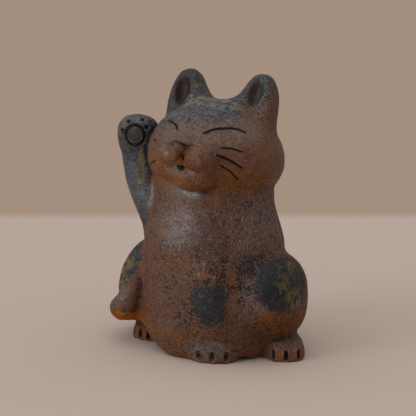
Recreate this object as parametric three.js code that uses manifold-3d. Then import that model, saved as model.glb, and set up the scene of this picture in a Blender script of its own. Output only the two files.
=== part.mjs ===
// Lucky cat figurine in wood-fired stoneware: a hollow body and a hollow head, with lumps of clay luted on before
// the firing. Millimetres, +Z up. The cat faces -Y, and its right side, with the raised foreleg, is at -X.
import * as THREE from "three";
import { mergeVertices } from "three/addons/utils/BufferGeometryUtils.js";
import Module from "manifold-3d";

const wasm = await Module();
wasm.setup();

// Clay
const WALL = 4.5; // thickness of the hollow body and head
const SEAT_GAP = 0.3; // joint between a luted lump and what carries it
const GROOVE_WIDTH = 0.9; // line drawn in the wet clay with a pointed tool

// Body, half widths at four heights
const BASE_HALF_WIDTH = 24;
const BELLY_HALF_WIDTH = 29.6;
const BELLY_HEIGHT = 20;
const CHEST_HALF_WIDTH = 28.6;
const CHEST_HEIGHT = 43;
const NECK_HALF_WIDTH = 24.3;
const NECK_HEIGHT = 62;
const BODY_DEPTH_SHARE = 0.87; // depth of the body over its width
const CAVITY_CEILING = 52; // top of the hollow in the body
const CROWN_RADIUS = 1; // flat left at the top of that hollow
const VENT_RADIUS = 10; // passage from the body's hollow into the head's
const ARCH_HEIGHT = 2.6; // relief under the rim between the forepaw and each hind foot
const ARCH_HALF_SPAN = 6;
const ARCH_BEARING = 47; // degrees from the front of the rim

// Standing foreleg, drawn out of the body's own wall
const LEG_OFFSET = 8.2;
const LEG_HALF_WIDTH = 8.5;
const LEG_PROUD = 0.9;
const LEG_BOTTOM = 3;
const LEG_TOP = 50;

// Head, in its own frame, which tips back about its centre
const HEAD_HALF_WIDTH = 27.2;
const HEAD_HALF_DEPTH = 24;
const HEAD_HALF_HEIGHT = 19.9;
const HEAD_FULLNESS = 2.1; // 2 is an ellipsoid, and more is squarer
const HEAD_TAPER = 0.16;
const HEAD_OVERLAP = 1.6; // how far the head's underside sinks below the neck's height
const HEAD_PITCH = 14;
const HEAD_SHIFT = 1.2; // the head sits a little towards the cat's left

// Ears
const EAR_OFFSET = 15.2;
const EAR_BACK = 1.2;
const EAR_HALF_WIDTH = 8;
const EAR_HALF_DEPTH = 6.2;
const EAR_HALF_HEIGHT = 14.3;
const EAR_RISE = 11.5; // top of the ear above the crown of the head
const EAR_LEAN = 7; // degrees outwards
const EAR_FULLNESS = 2.3;
const EAR_SQUARENESS = 3.2; // fullness as seen from above
const EAR_TAPER = 0.2;
const EAR_HOLLOW_HALF_WIDTH = 3.2;
const EAR_HOLLOW_HALF_HEIGHT = 7.4;
const EAR_HOLLOW_DEPTH = 3.3;
const EAR_HOLLOW_RISE = 5.6; // hollow's centre above the ear's

// Muzzle: a mound drawn out of the head, which carries the whisker pads, the nose and the chin
const MUZZLE_HALF_WIDTH = 10;
const MUZZLE_HALF_DEPTH = 7;
const MUZZLE_HALF_HEIGHT = 9;
const MUZZLE_DROP = 7;
const MUZZLE_PROUD = 3.2; // how far its front stands out from the face's own curve, as for the others
const MUZZLE_SHIFT = -0.8; // the muzzle sits a little towards the cat's right
const PAD_RADIUS = 5;
const PAD_OFFSET = 5.2;
const PAD_DROP = 3.9;
const PAD_PROUD = 5.2;
const LEFT_PAD_SPREAD = 1.2; // extra half width of the left whisker pad, outwards
const NOSE_HALF_WIDTH = 2.7;
const NOSE_HALF_DEPTH = 5;
const NOSE_HALF_HEIGHT = 2.2;
const NOSE_RISE = -0.3;
const NOSE_PROUD = 5.6;
const CHIN_HALF_WIDTH = 8.2;
const CHIN_HALF_DEPTH = 5.8;
const CHIN_HALF_HEIGHT = 5.2;
const CHIN_SHIFT = 0.6;
const CHIN_DROP = 12.2;
const CHIN_PROUD = 5.4;
const MOUTH_HALF_WIDTH = 1.7;
const MOUTH_HALF_HEIGHT = 1.2;
const MOUTH_DEPTH = 4.5;
const MOUTH_DROP = 8.6;

// Raised foreleg
const ARM_FORWARD = 4;
const ARM_HALF_WIDTH = 7.6;
const ARM_FLATNESS = 0.84;
const SHOULDER_HEIGHT = 47;
const SHOULDER_INSET = 8.3; // root of the foreleg inside the body's surface
const SHOULDER_SPREAD = 0.6; // extra half width at the root
const ELBOW_OUT = 0.61; // shares of the way from the root to the paw
const ELBOW_UP = 0.43;
const WRIST_OUT = 0.97;
const WRIST_UP = 0.82;
const PAW_HEIGHT = 84.3;
const PAW_HALF_WIDTH = 8.6;
const PAW_HALF_DEPTH = 6.6;
const PAW_HALF_HEIGHT = 8.2;
const CHEEK_LAP = 2.3; // how far the paw's inner edge laps behind the cheek
const PALM_SHIFT = 2.3; // palm's middle from the paw's, towards the face
const PALM_RISE = 1.1;
const PALM_RADIUS = 3.7;
const PALM_RING = 0.9; // groove round the palm pad
const PALM_RECESS = 1.6;
const PALM_PROUD = 0.5;
const TOE_HOLE_RADIUS = 0.9;
const TOE_HOLE_DEPTH = 4.2;
const TOE_HOLES = [[-6.2, 1.5], [-3.8, 5.2], [2, 6.2], [4.5, 3.3]]; // from the middle of the palm

// Haunches and paws
const HAUNCH_HALF_WIDTH = 10.7;
const HAUNCH_HALF_DEPTH = 16.5;
const HAUNCH_HALF_HEIGHT = 17;
const HAUNCH_HEIGHT = 24.3;
const HAUNCH_FULLNESS = 2.3;
const HAUNCH_TAPER = 0.14;
const LEFT_HAUNCH_INSET = 2; // haunch centre inside the belly's widest line
const RIGHT_HAUNCH_INSET = 0.9;
const FOOT_HALF_WIDTH = 8;
const FOOT_HALF_LENGTH = 10.5;
const FOOT_HEIGHT = 10;
const LEFT_FOOT_AT = [30.2, 2.5];
const LEFT_FOOT_SPLAY = 30; // degrees that the toes turn towards the cat's left
const RIGHT_FOOT_AT = [-27.7, 3.5];
const RIGHT_FOOT_SPLAY = -15;
const FOREPAW_HALF_WIDTH = 9.6;
const FOREPAW_HALF_LENGTH = 9;
const FOREPAW_HEIGHT = 9.4;
const FOREPAW_AT = [7.8, -13.6];
const FOREPAW_SPLAY = 20;
const TOE_SLOT_WIDTH = 1.2;
const TOE_SLOT_DEPTH = 2.6;
const TOE_SLOT_HEIGHT = 4.6;
const TOE_SLOT_RISE = 0.8;
const TOE_SPACING = 0.62; // from slot to slot, as a share of the paw's half width
const PAW_FULLNESS = 2.6;
const TOE_ROUNDING = 0.16; // outer slots' setback, as a share of the paw's half length

// Tail
const TAIL_RADIUS = 5.4;
const TAIL_TIP_RADIUS = 3.8;
const TAIL_HEIGHT = 13;
const TAIL_TIP_HEIGHT = 30;
const TAIL_ROOT_BEARING = -176; // degrees from the front of the body
const TAIL_RUMP_BEARING = -146;
const TAIL_OUT = 9; // tail's line beside the haunch, outside the belly's widest line
const TAIL_SIDE_BACK = 0.6; // places along the haunch, as shares of its half depth
const TAIL_SIDE_FRONT = -0.4;
const TAIL_BEND_FRONT = -0.95;
const TAIL_TIP_FRONT = -0.88;
const TAIL_BEND_IN = 6; // inwards from the line along the haunch
const TAIL_TIP_IN = 13.3;
const TAIL_BEND_RISE = 0.18; // share of the rise to the tip

const BURIED = 4; // how far the forms that stand on the ground reach below it before they are cut level
const GLAZE_ROUGHNESS = 0.55;
const FINE_STEPS = 32; // facets round a form
const PLAIN_STEPS = 22;
const SMALL_STEPS = 16;
const LAYER_SHARE = 0.62; // layers from pole to pole, as a share of the facets round
const CURVE_SAMPLES = 200;
const GROOVE_STEPS = 5;
const GROOVE_FACETS = 3;
const rad = THREE.MathUtils.degToRad;
const mix = THREE.MathUtils.lerp;
const ease = THREE.MathUtils.smoothstep;

// From a closed three.js geometry to a solid that can be cut, and back
function solidOf(geometry) {
  const plain = geometry.index ? geometry.toNonIndexed() : geometry.clone();
  const bare = new THREE.BufferGeometry().setAttribute("position", plain.getAttribute("position"));
  const merged = mergeVertices(bare, 1e-4);
  const triVerts = new Uint32Array(merged.index.array);
  const vertProperties = merged.attributes.position.array;
  return new wasm.Manifold(new wasm.Mesh({ numProp: 3, vertProperties, triVerts }));
}

function geometryOf(solid) {
  const mesh = solid.getMesh();
  const geometry = new THREE.BufferGeometry();
  geometry.setAttribute("position", new THREE.BufferAttribute(mesh.vertProperties, 3));
  geometry.setIndex(new THREE.BufferAttribute(mesh.triVerts, 1));
  geometry.computeVertexNormals();
  return geometry;
}

function moveVertices(geometry, place) {
  const position = geometry.getAttribute("position");
  const point = new THREE.Vector3();
  for (let i = 0; i < position.count; i++) {
    point.fromBufferAttribute(position, i);
    place(point);
    position.setXYZ(i, point.x, point.y, point.z);
  }
  return geometry;
}

// A rounded lump, narrowed towards its top by taper; squareness is its fullness as seen from above
function lump({
  radii,
  at,
  fullness = 2,
  squareness = fullness,
  taper = 0,
  frame = new THREE.Matrix4(),
  grow = 0,
  steps = PLAIN_STEPS,
}) {
  const [a, b, c] = radii.map((r) => r + grow);
  const ball = new THREE.SphereGeometry(1, steps, Math.round(steps * LAYER_SHARE)).rotateX(Math.PI / 2);
  moveVertices(ball, (p) => {
    const girth = (Math.abs(p.x) ** squareness + Math.abs(p.y) ** squareness) ** (1 / squareness);
    p.multiplyScalar((girth ** fullness + Math.abs(p.z) ** fullness) ** (-1 / fullness));
    p.set(a * p.x * (1 - taper * p.z), b * p.y, c * p.z);
  });
  ball.translate(...at).applyMatrix4(frame);
  return solidOf(ball);
}

// A coil of clay along a curve, with blunt ends: radiusAt(0..1) is its half width, flatness its depth over
// its width
function coil({ curve, radiusAt, flatness = 1, rings = PLAIN_STEPS, sides = SMALL_STEPS, side = null }) {
  const ball = new THREE.SphereGeometry(1, sides, rings).rotateX(Math.PI / 2);
  const frames = curve.computeFrenetFrames(CURVE_SAMPLES, false);
  moveVertices(ball, (p) => {
    const along = (p.z + 1) / 2;
    const blunt = (1 - p.z ** 4) ** 0.25 / Math.max(Math.hypot(p.x, p.y), 1e-9);
    const at = Math.round(along * CURVE_SAMPLES);
    const across = side ? side.clone() : frames.normals[at].clone();
    const deep = new THREE.Vector3().crossVectors(frames.tangents[at], across).normalize();
    const half = radiusAt(along);
    const centre = curve.getPoint(along);
    const dx = p.x * blunt * half;
    const dy = p.y * blunt * (half * flatness);
    p.copy(centre).addScaledVector(across, dx).addScaledVector(deep, dy);
  });
  return solidOf(ball);
}

const box = (size, at) => solidOf(new THREE.BoxGeometry(...size).translate(...at));

// A round bar along the line from one point to another
function bar(radius, from, to, steps = FINE_STEPS) {
  const axis = new THREE.Vector3().subVectors(to, from);
  const upright = new THREE.Vector3(0, 1, 0);
  const turn = new THREE.Quaternion().setFromUnitVectors(upright, axis.clone().normalize());
  const middle = new THREE.Vector3().addVectors(from, to).multiplyScalar(0.5);
  const cylinder = new THREE.CylinderGeometry(radius, radius, axis.length(), steps);
  return solidOf(cylinder.applyQuaternion(turn).translate(middle.x, middle.y, middle.z));
}

// Body: half width at a height, and the point of its surface at a bearing from the front
function bodyHalfWidth(z) {
  if (z < BELLY_HEIGHT) {
    const below = 1 - Math.max(z, 0) / BELLY_HEIGHT;
    return mix(BELLY_HALF_WIDTH, BASE_HALF_WIDTH, below ** 3);
  }
  if (z < CHEST_HEIGHT) return mix(BELLY_HALF_WIDTH, CHEST_HALF_WIDTH, ease(z, BELLY_HEIGHT, CHEST_HEIGHT));
  return mix(CHEST_HALF_WIDTH, NECK_HALF_WIDTH, ease(z, CHEST_HEIGHT, NECK_HEIGHT));
}

function bodySurface(z, bearing, grow = 0) {
  const half = bodyHalfWidth(z) + grow;
  const angle = rad(bearing);
  return new THREE.Vector3(half * Math.sin(angle), -half * BODY_DEPTH_SHARE * Math.cos(angle), z);
}

// A form turned about the upright axis and pressed to the body's depth
function turnedForm(halfWidthAt, bottom, top) {
  const profile = [new THREE.Vector2(0, bottom)];
  for (let i = 0; i <= SMALL_STEPS; i++) {
    const z = mix(bottom, top, i / SMALL_STEPS);
    profile.push(new THREE.Vector2(halfWidthAt(z), z));
  }
  profile.push(new THREE.Vector2(0, top));
  const lathe = new THREE.LatheGeometry(profile, FINE_STEPS).rotateX(Math.PI / 2);
  return moveVertices(lathe, (p) => p.setY(p.y * BODY_DEPTH_SHARE));
}

const headCentre = new THREE.Vector3(HEAD_SHIFT, 0, NECK_HEIGHT - HEAD_OVERLAP + HEAD_HALF_HEIGHT);
const headFrame = new THREE.Matrix4()
  .makeTranslation(headCentre.x, headCentre.y, headCentre.z)
  .multiply(new THREE.Matrix4().makeRotationX(rad(-HEAD_PITCH)));
const neckTop = headCentre.z - HEAD_HALF_HEIGHT / 2;

const bodyOuter = (grow = 0) => solidOf(turnedForm((z) => bodyHalfWidth(z) + grow, -BURIED, neckTop));

function bodyCavity() {
  const domeStart = CHEST_HEIGHT - WALL;
  const halfWidth = (z) => {
    const over = Math.max(0, z - domeStart) / (CAVITY_CEILING - domeStart);
    const share = Math.sqrt(Math.max(0, 1 - over ** 2));
    return Math.max((bodyHalfWidth(z) - WALL) * share, CROWN_RADIUS);
  };
  return solidOf(turnedForm(halfWidth, -2 * BURIED, CAVITY_CEILING));
}

const vent = () => bar(VENT_RADIUS, new THREE.Vector3(0, 0, CHEST_HEIGHT), headCentre);

const headForm = (grow = 0) =>
  lump({
    radii: [HEAD_HALF_WIDTH, HEAD_HALF_DEPTH, HEAD_HALF_HEIGHT],
    at: [0, 0, 0],
    fullness: HEAD_FULLNESS,
    taper: HEAD_TAPER,
    frame: headFrame,
    grow,
    steps: grow < 0 ? SMALL_STEPS : FINE_STEPS,
  });

// Front of the head at a place on its face, in the head's frame
function faceDepth(x, z) {
  const up = z / HEAD_HALF_HEIGHT;
  const across = Math.abs(x) / (HEAD_HALF_WIDTH * (1 - HEAD_TAPER * up));
  const left = 1 - across ** HEAD_FULLNESS - Math.abs(up) ** HEAD_FULLNESS;
  return -HEAD_HALF_DEPTH * Math.max(left, 0.01) ** (1 / HEAD_FULLNESS);
}

// A lump on the face, its front standing proud of the face's own curve
function onFace({ x, z, radii, proud, grow = 0, steps = PLAIN_STEPS }) {
  const at = [MUZZLE_SHIFT + x, faceDepth(x, z) + radii[1] - proud, z];
  return lump({ radii, at, frame: headFrame, grow, steps });
}

const muzzle = (grow) =>
  onFace({
    x: 0,
    z: -MUZZLE_DROP,
    radii: [MUZZLE_HALF_WIDTH, MUZZLE_HALF_DEPTH, MUZZLE_HALF_HEIGHT],
    proud: MUZZLE_PROUD,
    grow,
  });
const pad = (side, grow = 0) => {
  const spread = side > 0 ? LEFT_PAD_SPREAD : 0;
  const radii = [PAD_RADIUS + spread, PAD_RADIUS, PAD_RADIUS];
  return onFace({ x: side * (PAD_OFFSET + spread / 2), z: -PAD_DROP, radii, proud: PAD_PROUD, grow });
};
const nose = () =>
  onFace({
    x: 0,
    z: NOSE_RISE,
    radii: [NOSE_HALF_WIDTH, NOSE_HALF_DEPTH, NOSE_HALF_HEIGHT],
    proud: NOSE_PROUD,
    steps: SMALL_STEPS,
  });
const chin = () =>
  onFace({
    x: CHIN_SHIFT,
    z: -CHIN_DROP,
    radii: [CHIN_HALF_WIDTH, CHIN_HALF_DEPTH, CHIN_HALF_HEIGHT],
    proud: CHIN_PROUD,
  });
const mouthHole = () =>
  onFace({
    x: 0,
    z: -MOUTH_DROP,
    radii: [MOUTH_HALF_WIDTH, MOUTH_DEPTH, MOUTH_HALF_HEIGHT],
    proud: PAD_PROUD + MOUTH_DEPTH,
    steps: SMALL_STEPS,
  });
const headOuter = (grow = 0) => headForm(grow).add(muzzle(grow));

// A groove drawn over the face through points given as [x, z] in the head's frame
function faceGroove(points) {
  const path = new THREE.CatmullRomCurve3(points.map(([x, z]) => new THREE.Vector3(x, faceDepth(x, z), z)));
  const section = new THREE.Shape().absarc(0, 0, GROOVE_WIDTH / 2, 0, 2 * Math.PI);
  const facets = { steps: GROOVE_STEPS, curveSegments: GROOVE_FACETS, bevelEnabled: false };
  const groove = new THREE.ExtrudeGeometry(section, { ...facets, extrudePath: path });
  return solidOf(groove.applyMatrix4(headFrame));
}

const mirrored = (points, side) => points.map(([x, z]) => [side * x, z]);
const EYE = [[5.4, 5.2], [8.3, 7.1], [13.2, 8.3], [18.6, 7.5]];
const WHISKERS = [
  [[13.5, 0.8], [17.3, 0.8], [20.5, 0.2]],
  [[13.5, -2.4], [17.2, -4], [20.5, -5.8]],
  [[13.8, -6.4], [16.4, -8.6], [18.6, -10.8]],
];

// Ear: a leaning dome with a hollow pressed into its front
function ear(side) {
  const middle = HEAD_HALF_HEIGHT + EAR_RISE - EAR_HALF_HEIGHT;
  const frame = headFrame
    .clone()
    .multiply(new THREE.Matrix4().makeTranslation(side * EAR_OFFSET, EAR_BACK, middle))
    .multiply(new THREE.Matrix4().makeRotationY(rad(side * EAR_LEAN)));
  const domeRadii = [EAR_HALF_WIDTH, EAR_HALF_DEPTH, EAR_HALF_HEIGHT];
  const shape = { fullness: EAR_FULLNESS, squareness: EAR_SQUARENESS, taper: EAR_TAPER };
  const dome = lump({ radii: domeRadii, at: [0, 0, 0], frame, ...shape });
  const hollowRadii = [EAR_HOLLOW_HALF_WIDTH, EAR_HOLLOW_DEPTH, EAR_HOLLOW_HALF_HEIGHT];
  const hollow = lump({ radii: hollowRadii, at: [0, -EAR_HALF_DEPTH, EAR_HOLLOW_RISE], frame });
  return dome.subtract(hollow).subtract(headForm(SEAT_GAP));
}

// Raised foreleg, with its paw's palm turned to the front
const shoulder = bodySurface(SHOULDER_HEIGHT, -90, -SHOULDER_INSET);
const cheek = headCentre.x - HEAD_HALF_WIDTH;
const pawCentre = new THREE.Vector3(cheek + CHEEK_LAP - PAW_HALF_WIDTH, -ARM_FORWARD, PAW_HEIGHT);
const onArm = (out, up) =>
  new THREE.Vector3(mix(shoulder.x, pawCentre.x, out), -ARM_FORWARD, mix(shoulder.z, pawCentre.z, up));
const armCurve = new THREE.CatmullRomCurve3([
  onArm(0, 0),
  onArm(ELBOW_OUT, ELBOW_UP),
  onArm(WRIST_OUT, WRIST_UP),
  pawCentre,
]);
const arm = () =>
  coil({
    curve: armCurve,
    radiusAt: (u) => ARM_HALF_WIDTH + SHOULDER_SPREAD * (1 - u) ** 3,
    flatness: ARM_FLATNESS,
    side: new THREE.Vector3(1, 0, 0),
  });
const pawForm = (grow = 0) =>
  lump({
    radii: [PAW_HALF_WIDTH, PAW_HALF_DEPTH, PAW_HALF_HEIGHT],
    at: pawCentre.toArray(),
    fullness: PAW_FULLNESS,
    grow,
  });
const palmFace = pawCentre.y - PAW_HALF_DEPTH;
const palmPoint = (y, dx = 0, dz = 0) =>
  new THREE.Vector3(pawCentre.x + PALM_SHIFT + dx, y, pawCentre.z + PALM_RISE + dz);
const palmBar = (radius, depth) =>
  bar(radius, palmPoint(palmFace - PALM_RADIUS), palmPoint(palmFace + depth));
const palmPad = () => palmBar(PALM_RADIUS, PALM_RECESS - SEAT_GAP).intersect(pawForm(PALM_PROUD));
const toeHole = ([dx, dz]) => {
  const start = palmPoint(palmFace - PALM_RADIUS, dx, dz);
  return bar(TOE_HOLE_RADIUS, start, palmPoint(palmFace + TOE_HOLE_DEPTH, dx, dz), SMALL_STEPS);
};
function raisedForeleg() {
  let solid = arm().add(pawForm()).subtract(palmBar(PALM_RADIUS + PALM_RING, PALM_RECESS));
  for (const offset of TOE_HOLES) solid = solid.subtract(toeHole(offset));
  return solid.subtract(bodyOuter(SEAT_GAP)).subtract(headForm(SEAT_GAP));
}

// Haunches, hind feet and the standing forepaw
const haunch = (side, grow = 0) => {
  const x = side * (BELLY_HALF_WIDTH - (side > 0 ? LEFT_HAUNCH_INSET : RIGHT_HAUNCH_INSET));
  const radii = [HAUNCH_HALF_WIDTH, HAUNCH_HALF_DEPTH, HAUNCH_HALF_HEIGHT];
  const shape = { fullness: HAUNCH_FULLNESS, taper: HAUNCH_TAPER, grow, steps: FINE_STEPS };
  return lump({ radii, at: [x, 0, HAUNCH_HEIGHT], ...shape });
};

const hindFoot = (side) => ({
  at: side > 0 ? LEFT_FOOT_AT : RIGHT_FOOT_AT,
  splay: side > 0 ? LEFT_FOOT_SPLAY : RIGHT_FOOT_SPLAY,
  radii: [FOOT_HALF_WIDTH, FOOT_HALF_LENGTH, FOOT_HEIGHT],
});
const forepaw = {
  at: FOREPAW_AT,
  splay: FOREPAW_SPLAY,
  radii: [FOREPAW_HALF_WIDTH, FOREPAW_HALF_LENGTH, FOREPAW_HEIGHT],
};
const placed = (solid, { at, splay }) => solid.rotate([0, 0, splay]).translate([...at, 0]);

// A paw on the ground: a rounded block, with slots that part its four toes
function paw(place, grow = 0) {
  return placed(lump({ radii: place.radii, at: [0, 0, 0], fullness: PAW_FULLNESS, grow }), place);
}

function toedPaw(place) {
  const [halfWidth, halfLength] = place.radii;
  let solid = paw(place);
  for (const step of [-1, 0, 1]) {
    const front = -halfLength * (1 - TOE_ROUNDING * Math.abs(step));
    const size = [TOE_SLOT_WIDTH, 2 * TOE_SLOT_DEPTH, TOE_SLOT_HEIGHT];
    const at = [step * halfWidth * TOE_SPACING, front, TOE_SLOT_RISE + TOE_SLOT_HEIGHT / 2];
    solid = solid.subtract(placed(box(size, at), place));
  }
  return solid;
}

// Tail, from the rump round the right haunch, its tip turned up in front
const besideHaunch = (inwards, along, z) =>
  new THREE.Vector3(inwards - BELLY_HALF_WIDTH - TAIL_OUT, along * HAUNCH_HALF_DEPTH, z);
const tailCurve = new THREE.CatmullRomCurve3([
  bodySurface(TAIL_HEIGHT, TAIL_ROOT_BEARING, SEAT_GAP - TAIL_RADIUS),
  bodySurface(TAIL_HEIGHT, TAIL_RUMP_BEARING, TAIL_RADIUS),
  besideHaunch(0, TAIL_SIDE_BACK, TAIL_HEIGHT),
  besideHaunch(0, TAIL_SIDE_FRONT, TAIL_HEIGHT),
  besideHaunch(TAIL_BEND_IN, TAIL_BEND_FRONT, mix(TAIL_HEIGHT, TAIL_TIP_HEIGHT, TAIL_BEND_RISE)),
  besideHaunch(TAIL_TIP_IN, TAIL_TIP_FRONT, TAIL_TIP_HEIGHT),
]);
const tail = () =>
  coil({ curve: tailCurve, radiusAt: (u) => mix(TAIL_RADIUS, TAIL_TIP_RADIUS, u ** 3), rings: FINE_STEPS });

// Relief arches under the rim, on both sides of the forepaw
function rimArches() {
  const arch = (side) => {
    const outer = bodySurface(0, side * ARCH_BEARING, 2 * ARCH_HALF_SPAN);
    const inner = bodySurface(0, side * ARCH_BEARING, -WALL - ARCH_HALF_SPAN);
    return bar(ARCH_HALF_SPAN, outer, inner).scale([1, 1, ARCH_HEIGHT / ARCH_HALF_SPAN]);
  };
  return arch(1).add(arch(-1));
}

function legRelief() {
  const front = BODY_DEPTH_SHARE * Math.sqrt(BELLY_HALF_WIDTH ** 2 - LEG_OFFSET ** 2) + LEG_PROUD;
  const radii = [LEG_HALF_WIDTH, LEG_HALF_WIDTH, (LEG_TOP - LEG_BOTTOM) / 2];
  return lump({
    radii,
    at: [LEG_OFFSET, LEG_HALF_WIDTH - front, (LEG_TOP + LEG_BOTTOM) / 2],
    fullness: HAUNCH_FULLNESS,
    steps: FINE_STEPS,
  });
}

function bodyShell() {
  const outer = bodyOuter().add(legRelief()).subtract(headOuter(SEAT_GAP));
  const notch = paw(forepaw, SEAT_GAP);
  return outer.subtract(bodyCavity()).subtract(vent()).subtract(rimArches()).subtract(notch);
}

function headShell() {
  let solid = headOuter().subtract(headForm(-WALL)).subtract(vent());
  for (const side of [-1, 1]) {
    for (const line of [EYE, ...WHISKERS]) solid = solid.subtract(faceGroove(mirrored(line, side)));
  }
  return solid.subtract(mouthHole());
}

const largest = (solid) => solid.decompose().sort((one, other) => other.volume() - one.volume())[0];
const groundSpan = 4 * (BELLY_HALF_WIDTH + HAUNCH_HALF_WIDTH);
const ground = box([groundSpan, groundSpan, 4 * BURIED], [0, 0, -2 * BURIED]);
const onGround = (solid) => solid.subtract(ground);

const stoneware = (name, hex) =>
  new THREE.MeshStandardMaterial({ name, color: hex, roughness: GLAZE_ROUGHNESS, metalness: 0 });
const brown = stoneware("brown_stoneware", 0x7d5a47);
const slate = stoneware("slate_stoneware", 0x4a4a50);
const orange = stoneware("orange_stoneware", 0x8a4f28);

const figurine = new THREE.Group();
function addPiece(name, solid, material) {
  const mesh = new THREE.Mesh(geometryOf(largest(solid)), material);
  mesh.name = name;
  figurine.add(mesh);
}

const sides = [["left", 1], ["right", -1]];
const pads = pad(1, SEAT_GAP).add(pad(-1, SEAT_GAP));
const haunches = haunch(1, SEAT_GAP).add(haunch(-1, SEAT_GAP));
const bodySeat = bodyOuter(SEAT_GAP).add(legRelief());
const headSeat = headOuter(SEAT_GAP);

addPiece("body_shell", onGround(bodyShell()), brown);
addPiece("head_shell", headShell(), brown);
for (const [name, side] of sides) {
  addPiece(`${name}_ear`, ear(side), slate);
  addPiece(`${name}_whisker_pad`, pad(side).subtract(headSeat).subtract(mouthHole()), brown);
  addPiece(`${name}_haunch`, onGround(haunch(side).subtract(bodySeat)), slate);
  const foot = toedPaw(hindFoot(side)).subtract(bodySeat).subtract(haunches);
  addPiece(`${name}_hind_foot`, onGround(foot), brown);
}
addPiece("nose", nose().subtract(headSeat).subtract(pads), brown);
addPiece("chin", chin().subtract(headSeat).subtract(pads).subtract(mouthHole()).subtract(bodySeat), orange);
addPiece("raised_foreleg", raisedForeleg(), slate);
addPiece("palm_pad", palmPad(), slate);
addPiece("left_forepaw", onGround(toedPaw(forepaw).subtract(bodyCavity())), brown);
const rightFoot = paw(hindFoot(-1), SEAT_GAP);
addPiece("tail", tail().subtract(bodySeat).subtract(haunches).subtract(rightFoot), orange);

// The origin is on the ground, under the middle of the whole figure
const bounds = new THREE.Box3().setFromObject(figurine);
const centre = bounds.getCenter(new THREE.Vector3());
figurine.position.set(-centre.x, -centre.y, -bounds.min.z);

export default figurine;
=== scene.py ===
"""Lucky cat figurine in wood-fired stoneware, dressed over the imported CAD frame.

The clay is one distance field, in millimetres about the cat's upright axis, where the potter's forms
flow into each other. It is cut into one closed mesh for each CAD node, and the drawn lines and the pokes
are pressed into those meshes.
"""

import itertools
import math
from collections import namedtuple

import bmesh
import bpy
import numpy as np
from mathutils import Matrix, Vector


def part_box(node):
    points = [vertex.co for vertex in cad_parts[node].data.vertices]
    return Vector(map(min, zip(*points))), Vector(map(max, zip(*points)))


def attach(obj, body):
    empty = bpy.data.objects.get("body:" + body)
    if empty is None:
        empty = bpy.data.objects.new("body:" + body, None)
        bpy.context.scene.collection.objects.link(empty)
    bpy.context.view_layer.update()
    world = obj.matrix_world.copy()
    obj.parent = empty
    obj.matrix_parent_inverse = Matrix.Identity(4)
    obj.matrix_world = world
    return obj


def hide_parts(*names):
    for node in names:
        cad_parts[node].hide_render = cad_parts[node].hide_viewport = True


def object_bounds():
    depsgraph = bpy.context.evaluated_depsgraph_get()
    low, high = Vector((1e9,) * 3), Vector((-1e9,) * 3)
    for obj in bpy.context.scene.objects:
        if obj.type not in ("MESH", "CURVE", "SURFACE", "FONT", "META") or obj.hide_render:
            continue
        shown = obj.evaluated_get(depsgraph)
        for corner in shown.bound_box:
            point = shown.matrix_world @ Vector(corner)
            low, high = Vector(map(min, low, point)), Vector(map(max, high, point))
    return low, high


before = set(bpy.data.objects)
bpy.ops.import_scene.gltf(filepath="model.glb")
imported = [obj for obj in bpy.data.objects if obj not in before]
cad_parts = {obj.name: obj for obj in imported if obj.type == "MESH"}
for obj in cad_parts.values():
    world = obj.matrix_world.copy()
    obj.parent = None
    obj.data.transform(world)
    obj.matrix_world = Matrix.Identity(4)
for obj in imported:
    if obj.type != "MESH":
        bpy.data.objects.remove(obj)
cad_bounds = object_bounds()

MM = 0.001
CELL = 0.7  # spacing of the grid that the field is sampled on
FAR = 60.0  # stands for the distance to a form that is nowhere near
REACH = 9.0  # how far from a form its own distance is worked out
STEP = 0.04  # for slopes of the field
PRESS_STEP = 0.06  # for slopes of the tool marks
SETTLE_STEP = 0.6  # most that a vertex moves at once
CREASE_SHADE_REACH = 2.5  # how far out from the clay the painted shade of creases is felt for
STEEPEST = 1.5  # slope that the distance to a turned form allows for
BATCH = 20000  # points that are measured against a spine at once
SEED = 11

# Body, with its half widths at four heights
WALL = 4.5
BASE_HALF_WIDTH = 24.0
BELLY_HALF_WIDTH = 29.6
BELLY_HEIGHT = 20.0
CHEST_HALF_WIDTH = 28.6
CHEST_HEIGHT = 43.0
NECK_HALF_WIDTH = 24.3
NECK_HEIGHT = 62.0
NECK_TOP = 70.35
DEPTH_SHARE = 0.87
CAVITY_CEILING = 52.0
PASSAGE_RADIUS = 10.0
PASSAGE_MIDDLE = 60.0
PASSAGE_HALF_HEIGHT = 14.0
ARCH_HEIGHT = 2.6
ARCH_HALF_SPAN = 6.0
ARCH_START = 8.0  # inside the hollow, so that an arch cuts the front wall alone
ARCH_BEARING = math.radians(47)
LEG_CENTRE = (8.2, -17.1, 26.5)
LEG_RADII = (8.5, 8.5, 23.5)
THROAT = (2.0, -25.0, 71.5)  # where the chest turns in below the chin
THROAT_RADII = (15.0, 5.0, 4.5)

# Head, in its own frame, which tips back about its centre
HEAD_CENTRE = np.array((1.2, 0.0, 80.3))
HEAD_RADII = (27.2, 24.0, 19.9)
HEAD_FULLNESS = 2.1
HEAD_TAPER = 0.16
HEAD_PITCH = math.radians(14)
EAR_OFFSET = 15.2
EAR_BACK = 1.2
EAR_MIDDLE = 17.1
EAR_RADII = (8.0, 6.2, 14.3)
EAR_FULLNESS = 2.3
EAR_SQUARENESS = 3.2
EAR_TAPER = 0.2
EAR_LEAN = math.radians(7)
RIGHT_EAR_HOLLOW = ((0.0, -6.3, 5.6), (3.2, 3.4, 7.4))  # middle in the ear, and radii
LEFT_EAR_HOLLOW = ((0.2, -6.3, 6.8), (2.9, 3.4, 6.0))
MUZZLE_SHIFT = -0.8

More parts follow.
